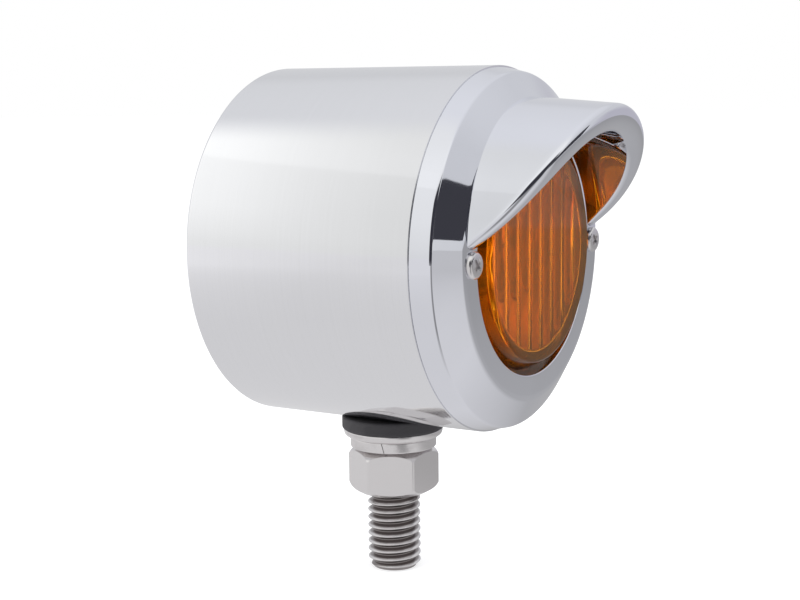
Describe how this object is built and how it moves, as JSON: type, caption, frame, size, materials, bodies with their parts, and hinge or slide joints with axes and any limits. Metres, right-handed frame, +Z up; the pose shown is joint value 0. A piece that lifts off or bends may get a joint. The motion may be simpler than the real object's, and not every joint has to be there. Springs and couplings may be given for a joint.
{
  "type": "turn signal lamp",
  "caption": "Round stud-mounted turn signal lamp: polished can, chrome bezel with a visor, amber fluted lens, bayonet bulb, and a threaded stud with nut and washers.",
  "frame": {"origin": "on the stud's axis at the underside of the rubber washer, where the bracket seats", "axes": "+Z up along the stud towards the lamp, the lens looks along -Y, +X to the right for someone facing the lens"},
  "size_m": [0.083, 0.0891, 0.1199],
  "materials": {
    "polished_steel": "polished stainless sheet",
    "chrome": "mirror chrome plate",
    "amber": "clear amber moulding with flutes",
    "bright_steel": "bright machined stainless",
    "plated_steel": "zinc plate",
    "rubber": "moulded black rubber",
    "reflector_metal": "bright spun aluminium",
    "brass": "satin brass",
    "cap_metal": "nickel-plated brass",
    "fibre": "pressed fibre board",
    "black_glass": "fused black insulator",
    "clear_glass": "clear blown glass",
    "tungsten": "drawn wire"
  },
  "bodies": {
    "stud_mount": {"stud_bolt": "bright_steel"},
    "head": {"housing": "polished_steel", "mounting_ring": "plated_steel", "screw_standoffs": "plated_steel", "bezel_visor": "chrome", "lens": "amber", "lens_gasket": "rubber", "lens_screws": "bright_steel", "reflector": "reflector_metal", "socket_flange": "plated_steel", "socket_rivets": "plated_steel", "socket_shell": "brass", "socket_end_cap": "fibre", "contact_terminal": "brass", "contact_spring": "plated_steel", "saddle_plate": "plated_steel", "rear_grommet": "rubber", "rubber_washer": "rubber"},
    "plunger": {"contact_plunger": "fibre", "contact_button": "brass"},
    "bulb": {"bulb_base": "cap_metal", "bulb_pins": "cap_metal", "bulb_insulator": "black_glass", "bulb_contact": "plated_steel", "bulb_glass": "clear_glass", "bulb_stem": "clear_glass", "filament_supports": "tungsten", "filament": "tungsten"},
    "washers": {"flat_washer": "bright_steel", "lock_washer": "bright_steel"},
    "nut": {"hex_nut": "bright_steel"}
  },
  "joints": [
    {"name": "aim_swivel", "type": "hinge", "parent": "stud_mount", "child": "head", "pos_m": [0, 0, 0], "axis": [0, 0, 1], "range_deg": [-180, 180]},
    {"name": "bulb_push", "type": "slide", "parent": "head", "child": "plunger", "axis": [0, 1, 0], "range_m": [0, 0.0022], "stiffness_N_per_m": 1500, "springref_m": -0.004, "deforming": ["contact_spring"]},
    {"name": "bulb_turn", "type": "hinge", "parent": "plunger", "child": "bulb", "pos_m": [0, 0, 0.0441], "axis": [0, -1, 0], "range_deg": [0, 25]},
    {"name": "nut_travel", "type": "slide", "parent": "stud_mount", "child": "washers", "axis": [0, 0, -1], "range_m": [0, 0.017]},
    {"name": "nut_turn", "type": "hinge", "parent": "washers", "child": "nut", "pos_m": [0, 0, -0.01], "axis": [0, 0, -1], "range_deg": [0, 3130]}
  ],
  "couplings": [
    {"joint": "nut_travel", "follows": "nut_turn", "m_per_rad": 0.00031096}
  ]
}
